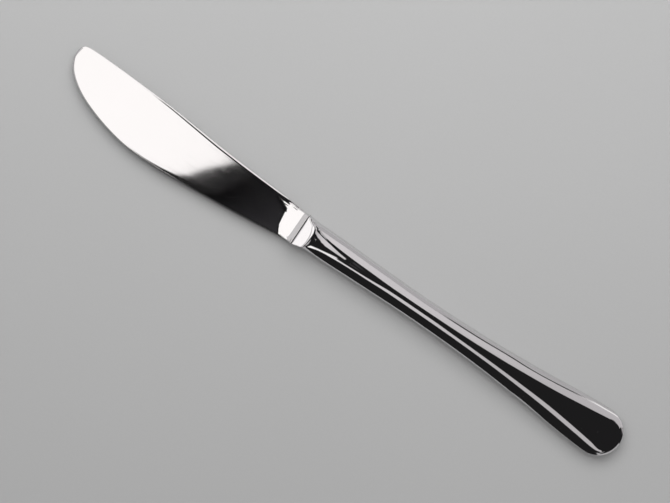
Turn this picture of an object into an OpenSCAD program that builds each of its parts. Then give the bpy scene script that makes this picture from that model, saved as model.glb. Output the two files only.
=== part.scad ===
// Table knife with a hollow handle, lying on its side.
// The knife's axis runs along X, with the tip towards +X. The cutting edge faces +Y
// and the back of the blade faces -Y. Z is up, and zero is the surface it rests on.

/* [Blade] */
// Length of the blade, from the handle joint to the tip
blade_length = 100; // [85:1:125]
// Height of the blade's back over the axis, near the tip
back_rise = 11; // [9:0.5:14]
// Depth of the cutting edge under the axis, at the belly
belly_drop = 11.4; // [9:0.2:15]
// Thickness of the back where the blade leaves the bolster
heel_thickness = 2.3; // [1.8:0.1:3]
// Thickness of the back near the tip
tip_thickness = 1; // [0.8:0.1:1.6]
// Thickness of the blade just behind the ground bevel
bevel_thickness = 0.5; // [0.3:0.05:0.7]
// Width of the ground bevel along the cutting edge
bevel_width = 0.6; // [0.3:0.1:1.2]
// Thickness left along the cutting edge
edge_land = 0.12; // [0.08:0.02:0.2]
// Depth of the rounding along the back
back_round = 0.6; // [0.3:0.1:1]
// Height that the face rolls off towards the ground bevel
edge_roll = 0.1; // [0.05:0.01:0.15]
// Width of that roll along the cutting edge
roll_width = 3; // [2:0.2:5]

/* [Bolster] */
// Half width of the collar towards the back of the blade
collar_back = 5.5; // [4.8:0.1:7]
// Half width of the collar towards the cutting edge
collar_front = 6.2; // [5.4:0.1:8]
// Length of the steep step between the ramp and the collar
step_length = 2.1; // [1.2:0.1:4]
// Length of the hollow ramp between the flat of the blade and the step
ramp_length = 6; // [4:0.5:9]
// Height that the ramp gains over the flat of the blade
ramp_rise = 0.8; // [0.5:0.1:1]

/* [Tang] */
// Length of the tang inside the handle
tang_length = 45; // [30:1:60]
// Width of the tang at its root
tang_width = 5; // [4:0.5:6]
// Thickness of the tang
tang_thickness = 3; // [2:0.2:3.6]
// Depth of the notches that key the tang into the cement
notch_depth = 0.6; // [0.3:0.1:1]
// Clearance of the cement round the tang and inside the shells
cement_clearance = 0.05; // [0.02:0.01:0.1]
// Length of cement past the end of the tang
cement_overhang = 6; // [3:1:12]

/* [Handle] */
// Length of the handle, from the joint to the end of the butt
handle_length = 134.8; // [120:1:160]
// Width of the neck behind the bolster
neck_width = 10.3; // [9:0.1:12]
// Width of the waist, the slimmest place of the handle
waist_width = 8.8; // [7.5:0.1:11]
// Width of the butt
butt_width = 17.7; // [15:0.1:22]
// Length of the rounded end of the butt
butt_round = 8.8; // [7:0.1:11]
// Thickness of the handle over the crest lines
handle_thickness = 7.6; // [6.8:0.1:9]
// Thickness over the crest lines at the butt
butt_thickness = 4.4; // [3.8:0.1:6]
// Run of the rounded corner over the upright side, in from the outline
side_run = 0.6; // [0.4:0.1:1.2]

/* [Panel] */
// Depth of the sunk panel under its crest lines
panel_depth = 0.7; // [0.4:0.05:0.9]
// Height of the short central ridge over the panel's floor, at the neck
ridge_rise = 0.7; // [0.3:0.05:0.9]
// Distance from the joint to the point where the central ridge runs out
ridge_length = 22; // [16:1:30]
// Length of the nose facet at the mouth of the handle
nose_length = 4; // [3:0.1:5]
// Height that the nose facet drops towards the joint
nose_drop = 0.5; // [0.3:0.05:0.7]
// Height of the small step round the end of the nose facet
nose_step = 0.25; // [0.1:0.05:0.4]
// Run of that step
nose_step_run = 0.35; // [0.2:0.05:0.6]
// Distance from the joint at which the panel and its crests have their full form
settle_length = 6; // [5.6:0.1:8]
// Depth of the polished land along the crests that the knife rests on
land_depth = 0.05; // [0.03:0.01:0.08]

/* [Shells] */
// Wall thickness of the pressed half shells
shell_wall = 0.7; // [0.5:0.05:0.9]
// Thickness of the braze between the two rims
braze_thickness = 0.2; // [0.1:0.02:0.3]
// Thickness of the cement layer that shows in the joint
joint_gap = 0.15; // [0.1:0.01:0.3]

/* [Hidden] */
$fn = 48;
// How far a cut reaches past the face that it cuts
overrun = 1;
polished_steel = [0.80, 0.80, 0.82];
shell_steel = [0.74, 0.74, 0.77];
braze_grey = [0.62, 0.60, 0.56];
cement_grey = [0.22, 0.21, 0.20];

// Half sizes and levels
neck_half = neck_width / 2;
waist_half = waist_width / 2;
butt_half = butt_width / 2;
rim_level = braze_thickness / 2;
crest_level = handle_thickness / 2 - rim_level;
butt_level = butt_thickness / 2 - rim_level;
land_level = handle_thickness / 2 - land_depth;
butt_centre = handle_length - butt_round;
flat_start = step_length + 2 * ramp_length;

// The knife's own box, which sets the origin under its middle
reach_back = max(back_rise, butt_half, collar_back);
reach_front = max(belly_drop, butt_half, collar_front);
shift_along = (handle_length + joint_gap - blade_length) / 2;
origin_shift = [shift_along, (reach_back - reach_front) / 2, land_level];

// Value a share of the way from a to b
function mix(a, b, share) = a + (b - a) * share;
function clamp(x, low, high) = min(max(x, low), high);

// Smooth curve through a table of [place, value] pairs, with no overshoot between them
function span_of(t, x, i = 0) = i >= len(t) - 2 || x < t[i + 1][0] ? i : span_of(t, x, i + 1);
function rise_of(t, i) = (t[i + 1][1] - t[i][1]) / (t[i + 1][0] - t[i][0]);
function slope_at(t, i) =
  i == 0 ? rise_of(t, 0)
  : i == len(t) - 1 ? rise_of(t, i - 1)
  : let (a = rise_of(t, i - 1), b = rise_of(t, i)) a * b <= 0 ? 0 : 2 * a * b / (a + b);
function ease(a, b, sa, sb, w, s) =
  a * (1 + 2 * s) * (1 - s) * (1 - s) + sa * w * s * (1 - s) * (1 - s)
  + b * s * s * (3 - 2 * s) - sb * w * s * s * (1 - s);
function curve(t, x) =
  let (i = span_of(t, x), w = t[i + 1][0] - t[i][0], s = clamp((x - t[i][0]) / w, 0, 1))
  ease(t[i][1], t[i + 1][1], slope_at(t, i), slope_at(t, i + 1), w, s);

// Smooth path through a list of points, where t counts the points
function knot(p, i) = p[clamp(i, 0, len(p) - 1)];
function path(p, t) =
  let (i = min(floor(t), len(p) - 2), s = t - i)
  let (a = knot(p, i - 1), b = p[i], c = p[i + 1], d = knot(p, i + 2))
  b + (c - a) * s / 2 + (a - 2.5 * b + 2 * c - d / 2) * s * s + (1.5 * (b - c) + (d - a) / 2) * s * s * s;

// The two triangles of a patch with the corners a, b, c, d, less any with a doubled corner
function patch(a, b, c, d) = [for (f = [[a, b, c], [a, c, d]])
  if (f[0] != f[1] && f[1] != f[2] && f[2] != f[0]) f];
function flipped(faces) = [for (f = faces) [f[0], f[2], f[1]]];

// Handle. Places along it are counted in zones: 0 to 1 is the nose facet, 1 to 2 is the stretch of
// the central ridge, 2 to 3 runs on to the centre of the butt and 3 to 4 round its end.
function zone_end(z) = [0, nose_length, ridge_length, butt_centre, handle_length][z];
function run_at(place) =
  let (z = min(floor(place), 3)) mix(zone_end(z), zone_end(z + 1), place - z);

// Width of the handle: share of the way from one named width to the next
mouth_shares = [[0, 1], [0.27, 0.75], [0.55, 0.4], [0.8, 0.2], [1, 0.1], [1.15, 0]];
taper_shares = [[1.5, 0], [1.85, 0.2], [2, 0.34], [2.08, 0.56], [2.15, 0.78], [2.22, 0.95], [2.28, 1]];
flare_shares = [[2.28, 0], [2.4, 0.045], [2.48, 0.1], [2.57, 0.2], [2.64, 0.315], [2.73, 0.48],
  [2.81, 0.66], [2.885, 0.83], [2.96, 0.955], [3, 1]];
neck_place = mouth_shares[len(mouth_shares) - 1][0];
waist_place = flare_shares[0][0];
function half_width(place, mouth) =
  place < neck_place ? mix(neck_half, mouth, curve(mouth_shares, place))
  : place < waist_place ? mix(neck_half, waist_half, curve(taper_shares, max(place, taper_shares[0][0])))
  : mix(waist_half, butt_half, curve(flare_shares, place));

// Level of the crest lines as a share of their full level, and of the way down to the butt
neck_level_shares = [[0, 0.84], [1, 0.85], [1.18, 0.9], [1.36, 0.945], [1.6, 0.985], [2, 1]];
butt_level_shares = [[2.5, 0], [2.65, 0.12], [2.73, 0.24], [2.81, 0.42], [2.885, 0.63], [2.97, 0.86],
  [3, 0.92], [3.3, 1.05], [3.6, 1.25], [3.8, 1.36], [4, 1.38]];
function crest_at(place) = mix(crest_level * curve(neck_level_shares, min(place, 2)),
  butt_level, curve(butt_level_shares, max(place, 2.5)));

// Run of the rounded corner, as a share of its full run
side_shares = [[0, 0.55], [1, 0.55], [1.2, 0.7], [1.5, 1], [2.57, 1], [2.73, 0.44], [2.9, 0.36], [3, 0.31],
  [3.5, 0.7], [4, 2.2]];
// Level at which the rounded corner ends, as a share of the crest's level
side_rise_shares = [[0, 0.68], [2.57, 0.66], [2.73, 0.46], [2.9, 0.38], [3, 0.4], [3.3, 0.62], [3.6, 0.97],
  [3.74, 1], [4, 1]];
// Crest line and foot of its inner slope, as shares of the room inside the line before. At the butt both
// run straight on until they meet the outline.
crest_shares = [[0, 0.83], [1, 0.83], [1.1, 0.734], [1.2, 0.617], [1.36, 0.511], [1.52, 0.47],
  [1.75, 0.41], [2, 0.374], [2.08, 0.339], [2.154, 0.295], [2.24, 0.308], [2.32, 0.316], [2.4, 0.328],
  [2.57, 0.39], [2.73, 0.459], [2.81, 0.502], [2.885, 0.563], [2.97, 0.64], [3, 0.677], [3.17, 0.69],
  [3.34, 0.73], [3.5, 0.8], [3.64, 0.92], [3.74, 0.98], [4, 0.98]];
foot_shares = [[0, 0.84], [1, 0.84], [1.36, 0.75], [1.7, 0.74], [2, 0.71], [2.08, 0.57], [2.154, 0.24],
  [2.24, 0.18], [2.32, 0.18], [2.4, 0.31], [2.48, 0.39], [2.64, 0.52], [2.81, 0.61], [2.885, 0.68],
  [3, 0.77], [3.34, 0.8], [3.5, 0.87], [3.64, 0.94], [3.74, 0.97], [4, 0.97]];
ridge_foot_shares = [[0, 0.8], [1, 0.86], [1.36, 0.93], [1.57, 0.71], [1.79, 0.47], [2, 0.4], [2.1, 0.5],
  [4, 0.5]];
depth_shares = [[0, 0], [1, 0], [1.08, 0.3], [1.2, 0.5], [1.5, 0.56], [1.9, 0.56], [2.15, 0.8],
  [2.3, 0.88], [2.5, 0.88], [2.73, 1], [2.885, 1.05], [3, 1], [3.3, 0.75], [3.6, 0.3], [3.8, 0], [4, 0]];
ridge_shares = [[0, 0.7], [1, 0.8], [1.18, 0.92], [1.36, 0.8], [1.46, 0.73], [1.57, 0.58], [1.68, 0.44],
  [1.79, 0.29], [1.9, 0.13], [2, 0], [4, 0]];

// The upright side rises to the wall's top, and the rounded corner turns from there to the outer slope
side_turn = 50;
side_steps = 4;
wall_share = 0.55;
lines = side_steps + 4;

// How far in from the joint the nose facet reaches on each line, as a share of its full length
nose_back_shares = [0, 0, 0, 0, 0, 0.3, 0.6, 0.7, 1];
nose_front_shares = [0, 0, 0.3, 0.6, 0.85, 1, 1, 1, 1];
nose_level_share = 0.79;
function nose_reach(side, k) = nose_length * (side < 0 ? nose_back_shares : nose_front_shares)[k];
function facet_level(run, reach) = crest_level * nose_level_share
  + nose_drop / nose_length * min(run, reach)
  + nose_step * clamp((run - reach) / nose_step_run, 0, 1);
// How far a line has settled from the end of the nose facet into the full section
function settled(place, side, k) =
  let (start = nose_reach(side, k) + nose_step_run)
  let (s = clamp((run_at(place) - start) / (settle_length - start), 0, 1)) s * s * (3 - 2 * s);
// Tilt that the rounded corner reaches at its end, and how far it has turned on line k
function full_turn(share) = mix(90, side_turn, share);
function turn_of(share, k) = full_turn(share) * max(min(k, side_steps) - 1, 0) / (side_steps - 1);

// A line's distance from the axis of a rib of length r, and its level over the middle plane
function line_out(place, side, r, k) =
  let (run = side_run * curve(side_shares, place), share = settled(place, side, k))
  let (room = r - run, crest = room * curve(crest_shares, place), foot = crest * curve(foot_shares, place))
  k <= side_steps ? r - run * (1 - cos(turn_of(share, k))) / (1 - cos(full_turn(share)))
  : k == side_steps + 1 ? crest
  : k == side_steps + 2 ? foot
  : k == side_steps + 3 ? foot * curve(ridge_foot_shares, place) : 0;
function line_level(place, side, k) =
  let (crest = crest_at(place), floor_level = crest - panel_depth * curve(depth_shares, place))
  let (share = settled(place, side, k), facet = facet_level(run_at(place), nose_reach(side, k)))
  let (rise = mix(wall_share, 1, sin(turn_of(share, k)) / sin(full_turn(share))))
  k == 0 ? 0
  : k <= side_steps ? mix(facet, crest * curve(side_rise_shares, place), share) * rise
  : k == side_steps + 1 ? mix(facet, crest, share)
  : k < lines ? mix(facet, floor_level, share)
  : mix(facet, floor_level + ridge_rise * curve(ridge_shares, place), share);

// Stations along one side: the mouth, the ridge, the body and the turn round the butt
nose_places = [0, 0.3, 0.6, 0.7, 0.85, 1];
ridge_places = [1.02, 1.06, 1.11, 1.18, 1.27, 1.36, 1.46, 1.57, 1.68, 1.79, 1.9, 2];
body_steps = 22;
turn_steps = 6;
places = concat(nose_places, ridge_places, [for (i = [1:body_steps]) 2 + i / body_steps],
  [for (i = [1:turn_steps]) 3 + sin(90 * i / turn_steps)]);
last = len(places) - 1;
pole = last - turn_steps;

// Rib j of the handle: j counts down the back side, round the butt and up the other side
function side_of(j) = j <= last ? -1 : 1;
function place_of(j) = places[j <= last ? j : 2 * last - j];
function rim_point(j) =
  let (place = place_of(j), side = side_of(j), mouth = side < 0 ? collar_back : collar_front)
  place <= 3 ? [run_at(place), side * half_width(place, mouth)]
  : [run_at(place), side * butt_half * sqrt(max(1 - pow(place - 3, 2), 0))];
function root_point(j) = [run_at(min(place_of(j), 3)), 0];

// A point of the handle's skin, or of a skin that lies inset under it
function skin_point(j, k, inset) =
  let (place = k == lines ? min(place_of(j), 3) : place_of(j), rim = rim_point(j), root = root_point(j))
  let (side = side_of(j), r = norm(rim - root), out = line_out(place, side, r, k) * (1 - inset / r))
  let (at = root + (rim - root) / r * out, floor_level = line_level(place, side, lines - 1))
  [-joint_gap - at[0], at[1], rim_level + line_level(place, side, k) * (1 - inset / floor_level)];

// All points of one skin: the lines of every rib, then the shared points on the axis
function skin(inset) = concat(
  [for (j = [0:2 * last], k = [0:lines - 1]) skin_point(j, k, inset)],
  [for (j = [0:pole]) skin_point(j, lines, inset)]);
skin_size = (2 * last + 1) * lines + pole + 1;
function axis_index(j) = (2 * last + 1) * lines + min(min(j, 2 * last - j), pole);
function skin_index(j, k) = k == lines ? axis_index(j) : j * lines + k;
function skin_faces(start) = [for (j = [0:2 * last - 1], k = [0:lines - 1])
  for (f = patch(skin_index(j, k), skin_index(j + 1, k), skin_index(j + 1, k + 1), skin_index(j, k + 1)))
    [for (v = f) v + start]];

// Blade outline, as paths that are walked together from the joint to the tip, rib by rib
function root_knots(half, far, shares) = [
  [0, half],
  [step_length, mix(half, far, shares[0])],
  [step_length + ramp_length / 2, mix(half, far, shares[1])],
  [step_length + ramp_length, mix(half, far, shares[2])],
  [flat_start, mix(half, far, shares[3])]];
function blade_run(share) = mix(flat_start, blade_length, share);
back_root_shares = [0.033, 0.085, 0.14, 0.2];
back_shares = [[0.092, 0.27], [0.208, 0.37], [0.325, 0.5], [0.441, 0.655], [0.546, 0.79], [0.639, 0.873],
  [0.721, 0.927], [0.79, 0.964], [0.849, 0.99], [0.895, 1], [0.93, 1], [0.959, 0.98], [0.979, 0.91],
  [0.988, 0.82]];
back_path = concat(root_knots(collar_back, back_rise, back_root_shares),
  [for (s = back_shares) [blade_run(s[0]), mix(collar_back, back_rise, s[1])]]);
edge_root_shares = [0.04, 0.083, 0.144, 0.29];
edge_shares = [[0.092, 0.46], [0.208, 0.654], [0.325, 0.827], [0.441, 0.98], [0.546, 1]];
belly_shares = [[0.639, 0.956], [0.732, 0.82], [0.814, 0.636], [0.884, 0.421], [0.936, 0.175]];
tip_shares = [[0.971, 0.073], [0.992, 0.345], [1, 0.6], [0.9925, 0.864]];
edge_path = concat(root_knots(collar_front, belly_drop, edge_root_shares),
  [for (s = edge_shares) [blade_run(s[0]), mix(collar_front, belly_drop, s[1])]],
  [for (s = belly_shares) [blade_run(s[0]), belly_drop * s[1]]],
  [for (s = tip_shares) [blade_run(s[0]), -back_rise * s[1]]]);

// Section of the bolster at the joint, which follows the mouth of the handle
function mouth_section(side) = [for (k = [lines:-1:1])
  let (p = skin_point(side < 0 ? 0 : 2 * last, k, 0)) [abs(p[1]), p[2]]];
back_section = mouth_section(-1);
front_section = mouth_section(1);
collar_level = back_section[0][1];
function collar_height(y) = lookup(abs(y), y < 0 ? back_section : front_section);

// How much of the collar's height is left at a distance x from the joint
step_shares = [[0, 1], [0.1, 0.97], [0.5, 0.52], [0.9, 0.06], [1, 0]];
ramp_shares = [[0, 1], [0.3, 0.66], [0.6, 0.34], [0.9, 0.05], [1, 0]];
reach_shares = [[-1, 1.3], [-0.85, 1.9], [-0.65, 1.2], [-0.4, 1], [0, 0.95], [0.6, 0.85], [0.9, 0.65],
  [1, 0.6]];
ramp_top = ramp_rise / (collar_level - heel_thickness / 2);
function collar_left(x, v) = x <= step_length
  ? mix(ramp_top, 1, curve(step_shares, x / step_length))
  : ramp_top * curve(ramp_shares, min((x - step_length) / (ramp_length * curve(reach_shares, v)), 1));

// Lines of the blade's section: the rounded back, the flat, and the ground bevel
back_steps = 3;
flat_shares = [0.1, 0.3, 0.5, 0.7, 0.86, 0.95];
blade_lines = back_steps + len(flat_shares) + 3;
function back_thickness(x) = mix(heel_thickness, tip_thickness, clamp(x / blade_length, 0, 1));

// Near the tip a rib is short and meets the edge at a slant, which limits the rounding and the bevel there
least_slant_share = 0.4;
back_room_share = 0.3;
bevel_room_share = 0.35;
look_share = 0.1;
function blade_rib(t) =
  let (b = path(back_path, t), e = path(edge_path, t), end = len(edge_path) - 1)
  let (ahead = path(edge_path, min(t + look_share, end)), behind = path(edge_path, max(t - look_share, 0)))
  let (along = (ahead - behind) / norm(ahead - behind))
  let (back = [b[0], -b[1]], edge = [e[0], e[1]], width = norm(edge - back), way = (edge - back) / width)
  let (square = max(abs(way[0] * along[1] - way[1] * along[0]), least_slant_share))
  [back, way, width,
    min(back_round, back_room_share * width), min(bevel_width / square, bevel_room_share * width)];

// The blade's own half thickness on line k of a rib, at distance x from the joint. The flat rolls off
// towards the bevel.
function blade_level(rib, x, k) =
  let (thick = back_thickness(x) / 2, s = k - back_steps - 1, flat = rib[2] - rib[3] - rib[4])
  k <= back_steps ? thick * sin(90 * k / back_steps)
  : s < len(flat_shares) ? mix(thick, bevel_thickness / 2 + edge_roll, flat_shares[s])
    - edge_roll * pow(max(1 - flat * (1 - flat_shares[s]) / roll_width, 0), 2)
  : s == len(flat_shares) ? bevel_thickness / 2
  : edge_land / 2;
function blade_out(rib, k) =
  let (s = k - back_steps - 1, far = rib[2] - rib[4])
  k <= back_steps ? rib[3] * (1 - cos(90 * k / back_steps))
  : s < len(flat_shares) ? mix(rib[3], far, flat_shares[s])
  : s == len(flat_shares) ? far : rib[2];
function blade_point(t, k, face) =
  let (rib = blade_rib(t), at = rib[0] + rib[1] * blade_out(rib, k), own = blade_level(rib, at[0], k))
  let (half = at[1] < 0 ? collar_back : collar_front)
  let (left = collar_left(at[0], clamp(at[1] / half, -1, 1)))
  let (collar = max(collar_height(at[1]), edge_land / 2))
  [at[0], at[1], k == 0 ? 0 : face * mix(own, collar, left)];

// Ribs of the blade, closest together on the step, and the closed ring of points on each
step_ribs = [0, 0.12, 0.3, 0.5, 0.7, 0.88, 1];
ribs_a_knot = 3;
blade_ribs = concat(step_ribs, [for (i = [1:ribs_a_knot * (len(back_path) - 2)]) 1 + i / ribs_a_knot]);
ring = 2 * blade_lines - 1;
function ring_point(t, i) =
  i < blade_lines ? blade_point(t, i, 1) : blade_point(t, 2 * blade_lines - 1 - i, -1);

module blade_body() {
  count = len(blade_ribs);
  points = [for (t = blade_ribs, i = [0:ring - 1]) ring_point(t, i)];
  sides = [for (j = [0:count - 2], i = [0:ring - 1])
    let (a = j * ring + i, b = j * ring + (i + 1) % ring)
    for (f = patch(a, b, b + ring, a + ring)) f];
  polyhedron(points, concat(sides, [[for (i = [ring - 1:-1:0]) i]],
    [[for (i = [0:ring - 1]) (count - 1) * ring + i]]), convexity = 4);
}

// Outline of the tang, with its taper and keying notches
tang_half = tang_width / 2;
tang_taper_share = 0.7;
tang_tip_half = tang_half * tang_taper_share;
notch_shares = [[0.3, 0], [0.34, 1], [0.42, 1], [0.46, 0], [0.64, 0], [0.68, 1], [0.76, 1], [0.8, 0]];
function tang_side(grow) = concat(
  [[overrun, tang_half + grow]],
  [for (s = notch_shares)
    [-tang_length * s[0], mix(tang_half, tang_tip_half, s[0]) - notch_depth * s[1] + grow]],
  [[-tang_length - grow, tang_tip_half + grow]]);
module tang(grow) {
  side = tang_side(grow);
  outline = concat(side, [for (i = [len(side) - 1:-1:0]) [side[i][0], -side[i][1]]]);
  linear_extrude(tang_thickness + 2 * grow, center = true) polygon(outline);
}

module blade() {
  color(polished_steel) union() {
    blade_body();
    tang(0);
  }
}

// One half shell, with its rim on the seam
module half_shell() {
  inner = skin_size;
  rim = [for (j = [0:2 * last - 1])
    let (a = skin_index(j, 0), b = skin_index(j + 1, 0))
    for (f = patch(a, inner + a, inner + b, b)) f];
  mouth = [for (j = [0, 2 * last], k = [0:lines - 1])
    let (a = skin_index(j, k), b = skin_index(j, k + 1))
    for (f = j == 0 ? patch(a, b, inner + b, inner + a) : patch(b, a, inner + a, inner + b)) f];
  polyhedron(concat(skin(0), skin(shell_wall)),
    concat(skin_faces(0), flipped(skin_faces(inner)), rim, mouth), convexity = 8);
}

module handle_shell_upper() {
  color(shell_steel) half_shell();
}

module handle_shell_lower() {
  color(shell_steel) difference() {
    mirror([0, 0, 1]) half_shell();
    translate([-handle_length - overrun, -butt_width, -land_level - handle_thickness])
      cube([handle_length + 2 * overrun, 2 * butt_width, handle_thickness]);
  }
}

// Strip of braze between the two rims, from mouth to mouth round the butt
module seam_braze() {
  rims = [for (level = [-rim_level, rim_level], inset = [0, shell_wall], j = [0:2 * last])
    let (p = skin_point(j, 0, inset)) [p[0], p[1], level]];
  row = 2 * last + 1;
  around = [0, 1, 3, 2];
  strip = [for (j = [0:row - 2], i = [0:3])
    let (a = around[i] * row + j, b = around[(i + 1) % 4] * row + j)
    for (f = patch(a, b, b + 1, a + 1)) f];
  ends = concat(patch(0, 2 * row, 3 * row, row),
    patch(row - 1, 2 * row - 1, 4 * row - 1, 3 * row - 1));
  color(braze_grey) polyhedron(rims, concat(strip, ends), convexity = 6);
}

// Cement: a plug inside the shells round the tang, and the layer in the joint
plug_end = tang_length + cement_overhang;
plug_inset = shell_wall + cement_clearance;
plug_stations = [for (j = [0:pole]) if (run_at(place_of(j)) < plug_end) j];
plug_side = 2 * lines - 1;
plug_ring = 2 * plug_side;
// Station j counts from the mouth. The ring runs over the top from the wall's top on line 1, down the
// front and back underneath.
function plug_point(j, i) =
  let (top = i < plug_side, n = top ? i : i - plug_side)
  let (k = n < lines ? n + 1 : plug_side - n, back = top ? n < lines : n >= lines)
  let (p = skin_point(back ? j : 2 * last - j, k, plug_inset))
  [p[0], p[1], top ? p[2] : -p[2]];
module plug() {
  count = len(plug_stations);
  points = [for (j = plug_stations, i = [0:plug_ring - 1]) plug_point(j, i)];
  sides = [for (j = [0:count - 2], i = [0:plug_ring - 1])
    let (a = j * plug_ring + i, b = j * plug_ring + (i + 1) % plug_ring)
    for (f = patch(a, a + plug_ring, b + plug_ring, b)) f];
  polyhedron(points, concat(sides, [[for (i = [0:plug_ring - 1]) i]],
    [[for (i = [plug_ring - 1:-1:0]) (count - 1) * plug_ring + i]]), convexity = 6);
}

// Outline of the joint, seen along the axis
joint_half = concat(
  [for (k = [1:lines]) let (p = skin_point(0, k, 0)) [p[1], p[2]]],
  [for (k = [lines - 1:-1:1]) let (p = skin_point(2 * last, k, 0)) [p[1], p[2]]]);
module joint_layer() {
  under = [for (i = [len(joint_half) - 1:-1:0]) [joint_half[i][0], -joint_half[i][1]]];
  outline = concat(joint_half, under);
  multmatrix([[0, 0, 1, -joint_gap], [1, 0, 0, 0], [0, 1, 0, 0]])
    linear_extrude(joint_gap) polygon(outline);
}

module tang_cement() {
  color(cement_grey) difference() {
    union() {
      joint_layer();
      plug();
    }
    tang(cement_clearance);
  }
}

module placed() {
  translate(origin_shift) children();
}

placed() blade();
placed() handle_shell_upper();
placed() handle_shell_lower();
placed() seam_braze();
placed() tang_cement();
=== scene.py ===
# Looks of a polished steel table knife that lies on its side on a pale floor.
# Sizes are in millimetres along the knife until placed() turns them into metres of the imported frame.

import math

import bmesh
import bpy
import numpy as np
from mathutils import Matrix, Vector


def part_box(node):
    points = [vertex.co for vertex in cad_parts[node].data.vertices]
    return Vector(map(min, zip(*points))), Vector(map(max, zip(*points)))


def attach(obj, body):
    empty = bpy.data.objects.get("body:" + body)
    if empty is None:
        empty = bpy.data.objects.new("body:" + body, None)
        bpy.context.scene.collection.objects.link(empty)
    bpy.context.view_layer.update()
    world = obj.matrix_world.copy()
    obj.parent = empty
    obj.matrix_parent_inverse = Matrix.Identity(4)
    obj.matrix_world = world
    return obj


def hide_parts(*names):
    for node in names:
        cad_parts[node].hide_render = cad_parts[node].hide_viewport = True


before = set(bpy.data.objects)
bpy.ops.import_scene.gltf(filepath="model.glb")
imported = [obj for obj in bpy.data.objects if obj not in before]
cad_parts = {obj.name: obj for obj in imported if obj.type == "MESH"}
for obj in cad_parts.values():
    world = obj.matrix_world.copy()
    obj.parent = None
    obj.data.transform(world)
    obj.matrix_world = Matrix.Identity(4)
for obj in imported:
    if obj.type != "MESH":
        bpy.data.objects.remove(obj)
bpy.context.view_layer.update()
MM = 0.001

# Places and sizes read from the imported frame. The other sizes are typed in and don't follow the part.
# Most repeat its named values. These differ from it: NOSE_STEP, NOSE_STEP_RUN, SETTLE_LENGTH, BEVEL_WIDTH,
# SIDE_SHARES, SIDE_RISE_SHARES, FOOT_SHARES, DEPTH_SHARES, the reach of the nose facet and the blade's back.
HANDLE_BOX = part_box("handle_shell_upper")
BLADE_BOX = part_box("blade")
BRAZE_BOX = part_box("seam_braze")
JOINT_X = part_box("tang_cement")[1][0] / MM
AXIS_Y = (HANDLE_BOX[0][1] + HANDLE_BOX[1][1]) / 2 / MM
MIDDLE_Z = (BRAZE_BOX[0][2] + BRAZE_BOX[1][2]) / 2 / MM
RIM_LEVEL = (BRAZE_BOX[1][2] - BRAZE_BOX[0][2]) / 2 / MM
BLADE_LENGTH = BLADE_BOX[1][0] / MM - JOINT_X
BUTT_HALF = (HANDLE_BOX[1][1] - HANDLE_BOX[0][1]) / 2 / MM
JOINT_GAP = 0.15  # the part's own value
HANDLE_LENGTH = JOINT_X - HANDLE_BOX[0][0] / MM - JOINT_GAP
LAND_LEVEL = MIDDLE_Z  # the knife rests on z = 0

# Sizes of the handle
HANDLE_THICKNESS = 7.6
COLLAR_BACK = 5.5
COLLAR_FRONT = 6.2
NECK_HALF = 5.15
WAIST_HALF = 4.4
BUTT_CENTRE = HANDLE_LENGTH - 8.8
BUTT_LEVEL = 2.1
CREST_LEVEL = HANDLE_THICKNESS / 2 - RIM_LEVEL
SIDE_RUN = 0.6
SIDE_TURN = math.radians(50)
WALL_SHARE = 0.55
PANEL_DEPTH = 0.7
RIDGE_RISE = 0.7
RIDGE_LENGTH = 22
NOSE_LENGTH = 4
NOSE_DROP = 0.5
NOSE_LEVEL_SHARE = 0.79
NOSE_STEP = 0.16
NOSE_STEP_RUN = 0.2
LIP_SLOPE = 0.14
SETTLE_LENGTH = 5.2
SHELL_WALL = 0.7

# Sizes of the blade and the bolster. The tang itself is hidden in the cement and isn't modelled here.
BACK_RISE = 11
BELLY_DROP = 11.4
HEEL_THICKNESS = 2.3
TIP_THICKNESS = 1
BEVEL_THICKNESS = 0.5
BEVEL_WIDTH = 0.5
EDGE_LAND = 0.12
BACK_FACETS = [[0, 0.24], [8, 0.3], [14, 0.7], [22, 0.8], [40, 1.0], [60, 0.7], [80, 0.5]]
EDGE_ROLL = 0.1
ROLL_WIDTH = 3
STEP_LENGTH = 2.1
RAMP_LENGTH = 6
RAMP_RISE = 0.8
FLAT_START = STEP_LENGTH + 2 * RAMP_LENGTH
TANG_LENGTH = 45
CEMENT_OVERHANG = 6


# Curves

def mix(a, b, share):
    return a + (b - a) * share


def curve(table, x):
    """Smooth curve through [place, value] pairs, with no overshoot between them, at the places x."""
    knots, values = np.array(table, float).T
    x = np.asarray(x, float)
    steps = np.diff(knots)
    rises = np.diff(values) / steps
    before, after = rises[:-1], rises[1:]
    together = before * after > 0
    total = np.where(together, before + after, 1)
    inner = np.where(together, 2 * before * after / total, 0)
    slopes = np.concatenate(([rises[0]], inner, [rises[-1]]))
    i = np.clip(np.searchsorted(knots, x, side="right") - 1, 0, len(steps) - 1)
    s = np.clip((x - knots[i]) / steps[i], 0, 1)
    ends = values[i] * (1 + 2 * s) * (1 - s) ** 2 + values[i + 1] * s * s * (3 - 2 * s)
    return ends + steps[i] * (slopes[i] * s * (1 - s) ** 2 - slopes[i + 1] * s * s * (1 - s))


def path(points, t):
    """Smooth path through a list of points, where t counts the points."""
    points = np.array(points, float)
    t = np.asarray(t, float)
    i = np.clip(np.floor(t).astype(int), 0, len(points) - 2)
    s = (t - i)[:, None]
    a, b, c, d = (points[np.clip(i + n, 0, len(points) - 1)] for n in (-1, 0, 1, 2))
    return b + (c - a) * s / 2 + (a - 2.5 * b + 2 * c - d / 2) * s ** 2 + (1.5 * (b - c) + (d - a) / 2) * s ** 3


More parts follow.
